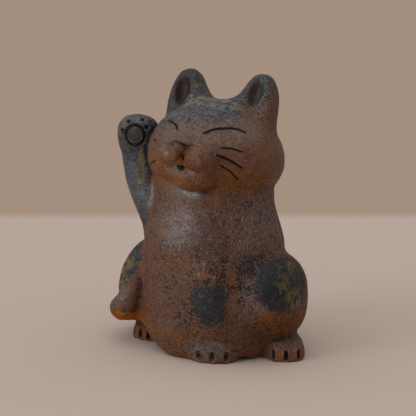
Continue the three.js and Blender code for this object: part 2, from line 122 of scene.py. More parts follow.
# Raised foreleg
SHOULDER = (-19.8, -4.0, 47.0)
ELBOW = (-27.4, -4.0, 63.0)
WRIST = (-31.9, -4.0, 77.6)
PAW_CENTRE = (-32.3, -4.0, 84.3)
PAW_RADII = (8.6, 6.6, 8.2)
ARM_HALF_WIDTH = 7.6
ARM_SPREAD = 0.6
ARM_FLATNESS = 0.84
PALM_AT = (2.3, 1.1)  # from the middle of the paw
PALM_RADIUS = 4.1
PALM_DEPTH = 1.6
PALM_RING_WIDTH = 1.6
TOE_HOLE_WIDTH = 2.2
TOE_HOLES = ((-6.2, 1.5), (-3.8, 5.2), (2.0, 6.2), (4.5, 3.3))  # from the middle of the palm

# Haunches, paws and tail
LIMB_FULLNESS = 2.3
LEFT_HAUNCH = (27.6, 0.0, 24.3)
RIGHT_HAUNCH = (-28.7, 0.0, 24.3)
HAUNCH_RADII = (10.7, 16.5, 17.0)
HAUNCH_TAPER = 0.14
PAW_FULLNESS = 2.6
FOOT_RADII = (8.0, 10.5, 10.0)
STANDING_PAWS = {  # place, radii, and the splay outwards to the left
    "forepaw": ((7.8, -13.6, 0.0), (9.6, 9.0, 9.4), math.radians(20)),
    "left_foot": ((30.2, 2.5, 0.0), FOOT_RADII, math.radians(30)),
    "right_foot": ((-27.7, 3.5, 0.0), FOOT_RADII, math.radians(-15)),
}
TAIL_RADIUS = 5.4
TAIL_TIP_RADIUS = 3.8
TAIL_HEIGHT = 13.0
TAIL_TIP_HEIGHT = 30.0
TAIL_OUT = 38.6
TAIL_ROOT_BEARING = math.radians(-176)
TAIL_LEAVING_BEARING = math.radians(-146)
TAIL_BEND_RISE = 0.18  # share of the way up to the tip
TAIL_BEND_IN = 6.0  # how far the bend and the tip come in again
TAIL_TIP_IN = 13.3
TAIL_DEPTHS = (0.6, -0.4, -0.95, -0.88)  # of its last four places, as shares of the haunch's depth

# Over how many millimetres the forms flow into each other
CUT_BLEND = 1.0
LEG_BLEND = 4.0
HAUNCH_BLEND = 3.6
LIMB_BLENDS = {"arm": 2.6, "left_foot": 3.2, "right_foot": 2.0, "forepaw": 3.2}
WRIST_BLEND = 2.0
TAIL_ROOT_BLEND = 5.0
TAIL_TIP_BLEND = 1.0
THROAT_BLEND = 4.0
NECK_BLEND = 1.0
MUZZLE_BLEND = 3.5
EAR_INNER_BLEND = 9.0
EAR_OUTER_BLEND = 4.0
EAR_RIM_BLEND = 1.4
FACE_BLEND = 6.0  # where a lump of the face runs out into the cheek or the brow
BRIDGE_BLEND = 7.0
PAD_CREASE = 0.5
CHIN_CREASE = 0.7
NOSE_CREASE = 1.2


def axis_place():
    """Where the cat's upright axis stands in the frame, in mm: the body is turned about it."""
    low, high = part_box("body_shell")
    return np.array(((low.x + high.x) / 2 / MM, high.y / MM - BELLY_HALF_WIDTH * DEPTH_SHARE, 0.0))


AXIS = axis_place()


# Shapes of clay, as distances that are negative inside
def ease(value, low, high):
    t = np.clip((value - low) / (high - low), 0, 1)
    return t * t * (3 - 2 * t)


def mix(a, b, t):
    return a + (b - a) * t


def smooth_min(a, b, blend):
    overlap = np.maximum(blend - np.abs(a - b), 0) / blend
    return np.minimum(a, b) - overlap**2 * blend / 4


def smooth_max(a, b, blend):
    return -smooth_min(-a, -b, blend)


def lump(p, radii, fullness=2.0, taper=0.0, squareness=None):
    """Distance to a rounded lump about the origin, narrowed towards its top by taper.

    More fullness makes it squarer as seen from the side, and more squareness as seen from above.
    """
    plan = squareness or fullness
    x, y, up = (np.abs(p / radii) + 1e-4).T
    width = 1 - taper * np.clip(p[:, 2] / radii[2], -1, 1)
    x = x / width
    girth = (x**plan + y**plan) ** (1 / plan)
    size = (girth**fullness + up**fullness) ** (1 / fullness)
    share = (girth / size) ** (fullness - 1)
    grade = np.stack([share * (x / girth) ** (plan - 1) / width, share * (y / girth) ** (plan - 1),
                      (up / size) ** (fullness - 1)], axis=1)
    return (size - 1) / np.linalg.norm(grade / radii, axis=1)


def smooth_curve(points, samples):
    """Centripetal Catmull-Rom curve through the points."""
    points = np.asarray(points, float)
    padded = np.vstack([2 * points[0] - points[1], points, 2 * points[-1] - points[-2]])
    along = np.linspace(0, len(points) - 1, samples)
    first = np.minimum(along.astype(int), len(points) - 2)
    t = (along - first)[:, None]
    a, b, c, d = (padded[first + i] for i in range(4))

    def gap(u, v):
        return np.sqrt(np.linalg.norm(v - u, axis=1, keepdims=True))

    before, between, after = gap(a, b), gap(b, c), gap(c, d)
    leave = ((b - a) / before - (c - a) / (before + between) + (c - b) / between) * between
    arrive = ((c - b) / between - (d - b) / (between + after) + (d - c) / after) * between
    return b + t * leave + t**2 * (3 * (c - b) - 2 * leave - arrive) + t**3 * (2 * (b - c) + leave + arrive)


def nearest_on(p, spine):
    """Share of the way along the spine where each point is nearest to it, and the distance."""
    place = np.empty(len(p))
    for start in range(0, len(p), BATCH):
        part = p[start : start + BATCH]
        gaps = ((part[:, None, :] - spine[None, :, :]) ** 2).sum(2)
        place[start : start + BATCH] = gaps.argmin(1)
    index = place.astype(int)
    tangent = np.gradient(spine, axis=0)[index]
    shift = ((p - spine[index]) * tangent).sum(1) / (tangent**2).sum(1)
    place = np.clip(place + np.clip(shift, -1, 1), 0, len(spine) - 1)
    samples = np.arange(len(spine))
    foot = np.stack([np.interp(place, samples, spine[:, i]) for i in range(3)], axis=1)
    return place / (len(spine) - 1), np.linalg.norm(p - foot, axis=1)


def body_half_width(z):
    below = np.clip(1 - z / BELLY_HEIGHT, 0, 1)
    belly = mix(BELLY_HALF_WIDTH, BASE_HALF_WIDTH, below**3)
    chest = mix(belly, CHEST_HALF_WIDTH, ease(z, BELLY_HEIGHT, CHEST_HEIGHT))
    return mix(chest, NECK_HALF_WIDTH, ease(z, CHEST_HEIGHT, NECK_HEIGHT))


def turned(p, half_width):
    """Distance to a form turned about the axis and pressed to the body's depth."""
    reach = np.maximum(np.hypot(p[:, 0], p[:, 1] / DEPTH_SHARE), 1e-3)
    half = half_width(p[:, 2])
    rise = half_width(p[:, 2] + 0.5) - half_width(p[:, 2] - 0.5)
    across = np.hypot(p[:, 0], p[:, 1] / DEPTH_SHARE**2) / reach
    return (reach - half) / np.hypot(across, np.clip(rise, -STEEPEST, STEEPEST))


def body(p):
    return np.maximum(turned(p, body_half_width), p[:, 2] - NECK_TOP)


def leg(p):
    return lump(p - LEG_CENTRE, LEG_RADII, LIMB_FULLNESS)


def turned_about(axis, angle):
    """Matrix of a turn about an axis, numbered from 0."""
    c, s = math.cos(angle), math.sin(angle)
    a, b = (axis + 1) % 3, (axis + 2) % 3
    matrix = np.eye(3)
    matrix[a, a] = matrix[b, b] = c
    matrix[a, b] = -s
    matrix[b, a] = s
    return matrix


HEAD_TURN = turned_about(0, -HEAD_PITCH)


def in_head(p):
    return (p - HEAD_CENTRE) @ HEAD_TURN


def from_head(p):
    return np.asarray(p) @ HEAD_TURN.T + HEAD_CENTRE


def head(p):
    return lump(in_head(p), HEAD_RADII, HEAD_FULLNESS, HEAD_TAPER)


def face_depth(x, z):
    """Front of the bare head, in its own frame."""
    up = z / HEAD_RADII[2]
    across = abs(x) / (HEAD_RADII[0] * (1 - HEAD_TAPER * up))
    left = 1 - across**HEAD_FULLNESS - abs(up) ** HEAD_FULLNESS
    return -HEAD_RADII[1] * left ** (1 / HEAD_FULLNESS)


def ear(side):
    hollow_at, hollow_radii = LEFT_EAR_HOLLOW if side > 0 else RIGHT_EAR_HOLLOW
    turn = turned_about(1, side * EAR_LEAN)
    at = np.array((side * EAR_OFFSET, EAR_BACK, EAR_MIDDLE))

    def distance(p):
        local = (in_head(p) - at) @ turn
        dome = lump(local, EAR_RADII, EAR_FULLNESS, EAR_TAPER, EAR_SQUARENESS)
        hollow = lump(local - hollow_at, hollow_radii)
        return smooth_max(dome, -hollow, EAR_RIM_BLEND)

    return distance


ARM_SPINE = smooth_curve([SHOULDER, ELBOW, WRIST, PAW_CENTRE], 60)


def arm(p):
    """A flattened tube that spreads towards the shoulder, and the paw at its end."""
    flat = np.array((1, 1 / ARM_FLATNESS, 1))
    mean_scale = (1 + ARM_FLATNESS) / 2
    place, away = nearest_on(p * flat, ARM_SPINE * flat)
    tube = (away - ARM_HALF_WIDTH - ARM_SPREAD * (1 - place) ** 3) * mean_scale
    return smooth_min(tube, lump(p - PAW_CENTRE, PAW_RADII, PAW_FULLNESS), WRIST_BLEND)


def palm_plug(p):
    x, y, z = (p - PAW_CENTRE).T
    return np.maximum(np.hypot(x - PALM_AT[0], z - PALM_AT[1]) - PALM_RADIUS, y + PAW_RADII[1] - PALM_DEPTH)


def haunch(at):
    return lambda p: lump(p - at, HAUNCH_RADII, LIMB_FULLNESS, HAUNCH_TAPER)


def paw(at, radii, splay):
    """A paw that points to the front, turned outwards by the splay."""
    turn = turned_about(2, splay)
    return lambda p: lump((p - at) @ turn, radii, PAW_FULLNESS)


def body_surface(z, bearing, grow):
    half = float(body_half_width(np.array(z))) + grow
    return (half * math.sin(bearing), -half * DEPTH_SHARE * math.cos(bearing), z)


def tail_spine():
    """From its root in the back, round the side of the right haunch, and up beside the belly."""
    depths = [share * HAUNCH_RADII[1] for share in TAIL_DEPTHS]
    bend_height = mix(TAIL_HEIGHT, TAIL_TIP_HEIGHT, TAIL_BEND_RISE)
    points = [
        body_surface(TAIL_HEIGHT, TAIL_ROOT_BEARING, -TAIL_RADIUS),
        body_surface(TAIL_HEIGHT, TAIL_LEAVING_BEARING, TAIL_RADIUS),
        (-TAIL_OUT, depths[0], TAIL_HEIGHT),
        (-TAIL_OUT, depths[1], TAIL_HEIGHT),
        (-TAIL_OUT + TAIL_BEND_IN, depths[2], bend_height),
        (-TAIL_OUT + TAIL_TIP_IN, depths[3], TAIL_TIP_HEIGHT),
    ]
    spine = smooth_curve(points, 120)
    from_tip = np.linalg.norm(spine - spine[-1], axis=1)
    return spine[: np.argmax(from_tip < TAIL_TIP_RADIUS)]


TAIL_SPINE = tail_spine()


def tail(p):
    place, away = nearest_on(p, TAIL_SPINE)
    return away - mix(TAIL_RADIUS, TAIL_TIP_RADIUS, place**3)


def hollows(p):
    """The hollows of body and head, and the passage between them."""
    dome_start = CHEST_HEIGHT - WALL

    def half_width(z):
        over = np.clip(z - dome_start, 0, None) / (CAVITY_CEILING - dome_start)
        return (body_half_width(z) - WALL) * np.sqrt(np.clip(1 - over**2, 0.002, 1))

    inner = np.maximum(turned(p, half_width), p[:, 2] - CAVITY_CEILING)
    lean = HEAD_CENTRE[0] * (p[:, 2] - CHEST_HEIGHT) / (HEAD_CENTRE[2] - CHEST_HEIGHT)
    from_middle = np.abs(p[:, 2] - PASSAGE_MIDDLE)
    passage = np.maximum(
        np.hypot(p[:, 0] - lean, p[:, 1]) - PASSAGE_RADIUS, from_middle - PASSAGE_HALF_HEIGHT
    )
    skull = lump(in_head(p), [r - WALL for r in HEAD_RADII], HEAD_FULLNESS, HEAD_TAPER)
    return np.minimum(np.minimum(inner, passage), skull)


def rim_arches(p):
    """Reliefs under the rim, on both sides of the forepaw."""
    found = np.full(len(p), FAR)
    for side in (-1, 1):
        along = np.array((side * math.sin(ARCH_BEARING), -math.cos(ARCH_BEARING)))
        across = np.abs(p[:, 0] * along[1] - p[:, 1] * along[0])
        out = p[:, 0] * along[0] + p[:, 1] * along[1]
        tunnel = (np.hypot(across / ARCH_HALF_SPAN, p[:, 2] / ARCH_HEIGHT) - 1) * ARCH_HEIGHT
        found = np.minimum(found, np.where(out > ARCH_START, tunnel, FAR))
    return found


# Each form: the node that it belongs to, its distance, and the box that it lies in
Form = namedtuple("Form", "node distance low high")
BODY_REACH = (30, 26, 40)  # half sizes of the box, as are the next four
HEAD_REACH = (28, 26, 24)
EAR_REACH = (11, 9, 16)
HAUNCH_REACH = (14, 17, 18)
PAW_REACH = (11, 11, 10)


def form(node, distance, centre, reach):
    centre, reach = np.asarray(centre, float), np.asarray(reach, float)
    return Form(node, distance, centre - reach - REACH, centre + reach + REACH)


def face_form(node, x, z, radii, proud):
    """A lump at a place on the face, whose front stands proud of the face's own curve."""
    at = np.array((MUZZLE_SHIFT + x, face_depth(x, z) + radii[1] - proud, z))
    return form(node, lambda p: lump(in_head(p) - at, radii), from_head(at), radii)


def spine_form(node, distance, spine, radius):
    low, high = spine.min(0), spine.max(0)
    return form(node, distance, (low + high) / 2, (high - low) / 2 + radius)


def paw_form(node, name):
    at, radii, splay = STANDING_PAWS[name]
    return form(node, paw(at, radii, splay), at, PAW_REACH)


def ear_form(node, side):
    at = from_head((side * EAR_OFFSET, EAR_BACK, EAR_MIDDLE))
    return form(node, ear(side), at, EAR_REACH)


FORMS = {
    "forepaw": paw_form("left_forepaw", "forepaw"),
    "palm": form("palm_pad", palm_plug, PAW_CENTRE, PAW_RADII),
    "body": form("body_shell", body, (0, 0, 33), BODY_REACH),
    "leg": form("body_shell", leg, LEG_CENTRE, LEG_RADII),
    "head": form("head_shell", head, HEAD_CENTRE, HEAD_REACH),
    "muzzle": face_form("head_shell", 0, -7.0, (10, 7, 9), 3.2),
    "left_haunch": form("left_haunch", haunch(LEFT_HAUNCH), LEFT_HAUNCH, HAUNCH_REACH),
    "right_haunch": form("right_haunch", haunch(RIGHT_HAUNCH), RIGHT_HAUNCH, HAUNCH_REACH),
    "left_pad": face_form("left_whisker_pad", 6.3, -4.1, (6.5, 5.4, 5.5), 5.8),
    "right_pad": face_form("right_whisker_pad", -5.6, -3.8, (5.0, 5.0, 5.0), 5.8),
    "nose": face_form("nose", -0.6, -0.8, (2.8, 5.0, 2.6), 6.8),
    "chin": face_form("chin", 1.6, -12.0, (7.4, 5.8, 5.4), 6.2),
    "arm": spine_form("raised_foreleg", arm, ARM_SPINE, 10),
    "left_ear": ear_form("left_ear", 1),
    "right_ear": ear_form("right_ear", -1),
    "left_foot": paw_form("left_hind_foot", "left_foot"),
    "right_foot": paw_form("right_hind_foot", "right_foot"),
    "tail": spine_form("tail", tail, TAIL_SPINE, TAIL_RADIUS),
}
NODES = list(dict.fromkeys(made.node for made in FORMS.values()))
AIR = -1


def own_distances(p):
    found = {}
    for name, made in FORMS.items():
        away = np.full(len(p), FAR)
        near = np.all((p > made.low) & (p < made.high), axis=1)
        if near.any():
            away[near] = made.distance(p[near])
        found[name] = away
    return found


def waves(shortest, longest, seed):
    """Wave vectors and phases of an unevenness that runs every way."""
    random = np.random.default_rng(seed)
    heading = random.normal(size=(WAVE_COUNT, 3))
    heading /= np.linalg.norm(heading, axis=1, keepdims=True)
    length = random.uniform(shortest, longest, (WAVE_COUNT, 1))
    return heading * 2 * math.pi / length, random.uniform(0, 2 * math.pi, WAVE_COUNT)


# The slow unevenness that hands leave, the quick one that tools leave, and how high they stand
WAVE_COUNT = 9
HAND_WAVES = waves(14, 32, SEED)
HAND_HEIGHT = 0.1
TOOL_WAVES = waves(3.5, 6, SEED + 1)
TOOL_HEIGHT = 0.018


def unevenness(p):
    total = np.zeros(len(p))
    for (wave, phase), height in ((HAND_WAVES, HAND_HEIGHT), (TOOL_WAVES, TOOL_HEIGHT)):
        total += height * np.sin(p @ wave.T + phase).sum(1)
    return total


def torso_clay(p, own):
    """Body, limbs and tail."""
    torso = smooth_min(own["body"], own["leg"], LEG_BLEND)
    torso = smooth_min(torso, own["left_haunch"], HAUNCH_BLEND)
    torso = smooth_min(torso, own["right_haunch"], HAUNCH_BLEND)
    torso = smooth_max(torso, -rim_arches(p), CUT_BLEND)
    for name, blend in LIMB_BLENDS.items():
        torso = smooth_min(torso, own[name], blend)
    up_the_tail = ease(p[:, 2], TAIL_HEIGHT - 2, TAIL_HEIGHT + 5)
    torso = smooth_min(torso, own["tail"], mix(TAIL_ROOT_BLEND, TAIL_TIP_BLEND, up_the_tail))
    return smooth_max(torso, -lump(p - THROAT, THROAT_RADII), THROAT_BLEND)


def skull_clay(p, own):
    """Head, ears and the lumps of the face, which end in creases at the mouth and nostrils."""
    x, _, z = in_head(p).T
    ear_blend = mix(EAR_INNER_BLEND, EAR_OUTER_BLEND, ease(np.abs(x), EAR_OFFSET - 5, EAR_OFFSET + 5))
    brow = ease(z, -5, 1)
    skull = smooth_min(own["head"], own["muzzle"], MUZZLE_BLEND)
    for name, blend in (
        ("left_pad", mix(PAD_CREASE, FACE_BLEND, np.maximum(brow, ease(x, 6, 11)))),
        ("right_pad", mix(PAD_CREASE, FACE_BLEND, np.maximum(brow, ease(-x, 9, 14)))),
        ("nose", mix(NOSE_CREASE, BRIDGE_BLEND, ease(z, -1.2, 0.8))),
        ("chin", mix(CHIN_CREASE, FACE_BLEND, ease(x, 3, 10))),
        ("left_ear", ear_blend),
        ("right_ear", ear_blend),
    ):
        skull = smooth_min(skull, own[name], blend)
    return skull


def clay(p, own=None):
    """The figure's field: torso and skull joined, hollowed out and cut level with the ground."""
    own = own or own_distances(p)
    figure = smooth_min(torso_clay(p, own), skull_clay(p, own), NECK_BLEND) + unevenness(p)
    figure = smooth_max(figure, -hollows(p), CUT_BLEND)
    return smooth_max(figure, -p[:, 2], CUT_BLEND)


def slope(field, p, step=STEP):
    columns = []
    for axis in range(3):
        shift = np.zeros(3)
        shift[axis] = step
        columns.append((field(p + shift) - field(p - shift)) / (2 * step))
    return np.stack(columns, axis=1)


def unit(v):
    return v / np.maximum(np.linalg.norm(v, axis=1, keepdims=True), 1e-9)


# Grid, and the net of faces between nodes and air
def owners(own, field):
    """Which node holds each point: a form keeps what lies inside it, and a fillet goes to the nearest."""
    by_node = np.full((len(NODES), len(field)), FAR)
    for name, made in FORMS.items():
        row = NODES.index(made.node)
        by_node[row] = np.minimum(by_node[row], own[name])
    inside = by_node < 0
    held = np.where(inside.any(0), inside.argmax(0), by_node.argmin(0))
    return np.where(field < 0, held, AIR)


def sample_grid():
    low, high = (np.array(corner) / MM - AXIS for corner in cad_bounds)
    low, high = low - 3 * CELL, high + 3 * CELL
    axes = [np.arange(low[i], high[i] + CELL, CELL) for i in range(3)]
    shape = [len(axis) for axis in axes]
    field = np.empty(shape)
    owner = np.empty(shape, int)
    for k in range(shape[2]):
        grid = np.meshgrid(axes[0], axes[1], axes[2][k : k + 1], indexing="ij")
        p = np.stack([g.ravel() for g in grid], axis=1)
        own = own_distances(p)
        value = clay(p, own)
        field[:, :, k] = value.reshape(shape[:2])
        owner[:, :, k] = owners(own, value).reshape(shape[:2])
    return low, field, owner


def net_vertices(low, field, owner):
    """One vertex in each cell that isn't all one thing: on the surface where the cell meets air."""
    shape = np.array(field.shape) - 1
    corners = np.array(list(itertools.product((0, 1), repeat=3)))

    def window(array, c):
        return array[c[0] : c[0] + shape[0], c[1] : c[1] + shape[1], c[2] : c[2] + shape[2]]

    first = window(owner, corners[0])
    mixed = np.zeros(shape, bool)
    for c in corners[1:]:
        mixed |= window(owner, c) != first
    cells = np.argwhere(mixed)
    number = np.full(shape, -1)
    number[mixed] = np.arange(len(cells))
    value = np.stack([field[tuple((cells + c).T)] for c in corners], axis=1)
    holder = np.stack([owner[tuple((cells + c).T)] for c in corners], axis=1)
    meets_air = (holder == AIR).any(1)
    total, count = np.zeros((len(cells), 3)), np.zeros(len(cells))
    for a, b in itertools.combinations(range(8), 2):
        if np.abs(corners[a] - corners[b]).sum() != 1:
            continue
        airy = (holder[:, a] == AIR) != (holder[:, b] == AIR)
        seam = ~meets_air & (holder[:, a] != holder[:, b])
        drop = value[:, a] - value[:, b]
        t = np.where(airy, value[:, a] / np.where(drop == 0, 1, drop), 0.5)
        crossed = airy | seam
        total += crossed[:, None] * (corners[a] + t[:, None] * (corners[b] - corners[a]))
        count += crossed
    place = low + CELL * (cells + total / np.maximum(count, 1)[:, None])
    return number, place


def net_faces(number, owner):
    """Quads across every grid edge between two holders, with the holder in front of and behind each."""
    quads, fronts, backs = [], [], []
    for axis in range(3):
        order = [(axis + i) % 3 for i in range(3)]
        held = owner.transpose(order)
        cell = number.transpose(order)
        a, b = held[:-1, 1:-1, 1:-1], held[1:, 1:-1, 1:-1]
        around = [cell[:, :-1, :-1], cell[:, 1:, :-1], cell[:, 1:, 1:], cell[:, :-1, 1:]]
        differ = a != b
        quad = np.stack([c[differ] for c in around], axis=1)
        inner, outer = a[differ], b[differ]
        turned_round = inner == AIR
        quad[turned_round] = quad[turned_round][:, ::-1]
        quads.append(quad)
        fronts.append(np.where(turned_round, outer, inner))
        backs.append(np.where(turned_round, inner, outer))
    return np.concatenate(quads), np.concatenate(fronts), np.concatenate(backs)


def fill_mesh(name, points, corners, totals):
    mesh = bpy.data.meshes.new(name)
    mesh.vertices.add(len(points))
    mesh.vertices.foreach_set("co", np.ascontiguousarray(points, np.float32).ravel())
    mesh.loops.add(len(corners))
    mesh.loops.foreach_set("vertex_index", corners.astype(np.int32))
    mesh.polygons.add(len(totals))
    starts = np.concatenate([[0], np.cumsum(totals)[:-1]])
    mesh.polygons.foreach_set("loop_start", starts.astype(np.int32))
    mesh.polygons.foreach_set("loop_total", totals.astype(np.int32))
    mesh.update(calc_edges=True)
    return mesh


# Lines drawn and holes poked in the wet clay
Stroke = namedtuple("Stroke", "line half_width depth burr tone")
START_DEPTH = -38.0  # in front of the face
LAND_STEPS = 40
LAND_STRIDE = (-1, 4)  # shortest and longest of those steps
BURR_AT = 1.25  # from the middle of a line, in half widths, as are the next two
BURR_SPREAD = 0.35
MARK_REACH = 2.5
END_LOSS = 0.45  # share of its depth that a line loses at its ends
DARK_DEPTH = 0.5  # from which a line is fully dark
SPLIT_REACHES = (0.9, 0.45)  # how far beside a line its faces are split, the first time and the second


def land(points, heading):
    """Moves points along a heading until they meet the clay."""
    p = np.array(points, float)
    for _ in range(LAND_STEPS):
        p += np.clip(clay(p), *LAND_STRIDE)[:, None] * heading
    return p


def drawn(points, width, depth, burr=0.12, tone=1.0):
    """A line over the face, through points (x, z) in the head's frame. Its tone is how dark it is coloured:
    partly its fired colour, partly painted shade in the groove.
    """
    flat = smooth_curve([(x, 0, z) for x, z in points], 40)
    start = from_head(np.stack([flat[:, 0], np.full(len(flat), START_DEPTH), flat[:, 2]], axis=1))
    return Stroke(land(start, HEAD_TURN @ (0, 1, 0)), width / 2, depth, burr, tone)


def face_lines():
    return [
        # Closed eyes
        drawn([(5.3, 5.2), (8.3, 7.0), (13.2, 8.2), (16.5, 8.2), (19.1, 7.4)], 1.2, 0.9, 0.16),
        drawn([(-6.1, 5.6), (-7.4, 7.2), (-9.6, 8.3), (-13.1, 9.1)], 0.95, 0.7),
        # Whiskers of the left cheek
        drawn([(13.1, 0.4), (16.4, 0.5), (20.2, -0.3)], 0.9, 0.65),
        drawn([(12.6, -2.6), (16.5, -4.2), (20.0, -6.4)], 1.05, 0.75, 0.32),
        drawn([(13.3, -6.4), (16.1, -8.3), (18.0, -10.9)], 0.95, 0.7),
        # Whiskers of the right cheek
        drawn([(-16.6, 0.7), (-18.6, 1.2), (-20.6, 1.5)], 0.9, 0.5),
        drawn([(-17.6, -2.2), (-19.4, -2.3), (-21.2, -2.0)], 0.7, 0.25),
        drawn([(-16.6, -6.9), (-19.4, -7.6), (-22.0, -8.5)], 0.9, 0.45),
        # Top of the nose, the groove and the cut below it, and the mouth
        drawn([(-4.2, 0.2), (-3.4, 0.8), (-2.4, 1.05), (-1.1, 0.9), (0, 0.4), (1, -0.5)], 0.9, 0.8, 0.16),
        drawn([(-0.4, -4.4), (-0.5, -5.8), (-0.7, -7.4)], 2.6, 0.9, 0.0, 0.15),
        drawn([(-1.0, -3.4), (-0.7, -4.7), (-0.1, -6.2)], 0.95, 1.7, 0.0),
        drawn([(-2.0, -8.7), (-1.2, -8.9), (-0.5, -8.7)], 2.6, 2.6, 0.0, 0.7),
    ]


def toe_pokes(name, spacing, width, depth, low, high, tone):
    """Three upright pokes in the front of a paw, spaced by a share of its half width."""
    at, radii, splay = STANDING_PAWS[name]
    turn = turned_about(2, splay)
    pokes = []
    for step in (-1, 0, 1):
        start = [(step * spacing * radii[0], -radii[1] - 1.5, z) for z in np.linspace(low, high, 12)]
        line = land(start @ turn.T + at, turn @ (0, 1, 0))
        pokes.append(Stroke(line, width / 2, depth, burr=0.22, tone=tone))
    return pokes


def palm_points(offsets):
    """Points on the palm's side of the paw, from their offsets (x, z) from the middle of the palm."""
    start = [(PAW_CENTRE[0] + PALM_AT[0] + x, -20.0, PAW_CENTRE[2] + PALM_AT[1] + z) for x, z in offsets]
    return land(start, (0, 1, 0))


def toe_holes():
    lines = [palm_points([(x - 0.1, z), (x + 0.1, z)]) for x, z in TOE_HOLES]
    return [Stroke(line, TOE_HOLE_WIDTH / 2, depth=1.7, burr=0.15, tone=0.9) for line in lines]


def palm_ring():
    turn = np.linspace(0, 2 * math.pi, 60)
    ring = palm_points([(PALM_RADIUS * math.cos(a), PALM_RADIUS * math.sin(a)) for a in turn])
    return Stroke(ring, PALM_RING_WIDTH / 2, depth=0.9, burr=0.15, tone=0.75)


def all_strokes():
    return [
        *face_lines(),
        *toe_pokes("forepaw", spacing=0.58, width=2.5, depth=1.8, low=1.9, high=4.0, tone=0.55),
        *toe_pokes("left_foot", spacing=0.64, width=2.0, depth=1.9, low=1.4, high=4.0, tone=0.75),
        *toe_pokes("right_foot", spacing=0.5, width=2.0, depth=1.8, low=1.4, high=3.8, tone=0.7),
        palm_ring(),
        *toe_holes(),
    ]


def in_box_around(stroke, margin, p):
    low, high = stroke.line.min(0) - margin, stroke.line.max(0) + margin
    return np.all((p > low) & (p < high), axis=1)


def near_strokes(p, strokes, reach):
    near = np.zeros(len(p), bool)
    for stroke in strokes:
        margin = stroke.half_width + reach
        boxed = in_box_around(stroke, margin, p)
        if boxed.any():
            near[boxed] |= nearest_on(p[boxed], stroke.line)[1] < margin
    return near


def press(p, strokes):
    """Depth and darkness of the tool marks at points on the clay: rounded grooves, each with a low burr,
    darkened partly for their fired colour and partly as painted shade.
    """
    depth, dark = np.zeros((2, len(p)))
    for stroke in strokes:
        boxed = in_box_around(stroke, MARK_REACH * stroke.half_width, p)
        if not boxed.any():
            continue
        place, away = nearest_on(p[boxed], stroke.line)
        across = away / stroke.half_width
        closed = np.allclose(stroke.line[0], stroke.line[-1])
        ends = 1.0 if closed else 1 - END_LOSS * np.abs(2 * place - 1) ** 4
        groove = stroke.depth * ends * np.clip(1 - across**2, 0, 1) ** 1.5
        burr = stroke.burr * np.exp(-(((across - BURR_AT) / BURR_SPREAD) ** 2))
        depth[boxed] = np.where(groove > 0, np.maximum(depth[boxed], groove), depth[boxed] - burr)
        dark[boxed] = np.maximum(dark[boxed], stroke.tone * np.clip(groove / DARK_DEPTH, 0, 1))
    return depth, dark


def refined(mesh, strokes):
    """Splits the faces near the tool marks, twice."""
    for reach in SPLIT_REACHES:
        points = np.empty(len(mesh.vertices) * 3, np.float32)
        mesh.vertices.foreach_get("co", points)
        near = near_strokes(points.reshape(-1, 3).astype(float), strokes, reach).tolist()
        bm = bmesh.new()
        bm.from_mesh(mesh)
        edges = [e for e in bm.edges if near[e.verts[0].index] and near[e.verts[1].index]]
        bmesh.ops.subdivide_edges(bm, edges=edges, cuts=1, use_grid_fill=True)
        bm.to_mesh(mesh)
        bm.free()
    return mesh


def read_mesh(mesh):
    def column(items, name, kind, width=1):
        data = np.empty(len(items) * width, kind)
        items.foreach_get(name, data)
        return data

    points = column(mesh.vertices, "co", np.float32, 3).reshape(-1, 3).astype(float)
    corners = column(mesh.loops, "vertex_index", np.int32)
    starts = column(mesh.polygons, "loop_start", np.int32)
    totals = column(mesh.polygons, "loop_total", np.int32)
    front = column(mesh.attributes["front"].data, "value", np.int32)
    back = column(mesh.attributes["back"].data, "value", np.int32)
    return points, corners, starts, totals, front, back


def settle(points, outer):
    """Moves the outer vertices onto the clay's surface, in two short steps."""
    for _ in range(2):
        p = points[outer]
        grade = slope(clay, p)
        step = clay(p) / np.maximum((grade**2).sum(1), 0.2)
        points[outer] = p - np.clip(step, -SETTLE_STEP, SETTLE_STEP)[:, None] * grade
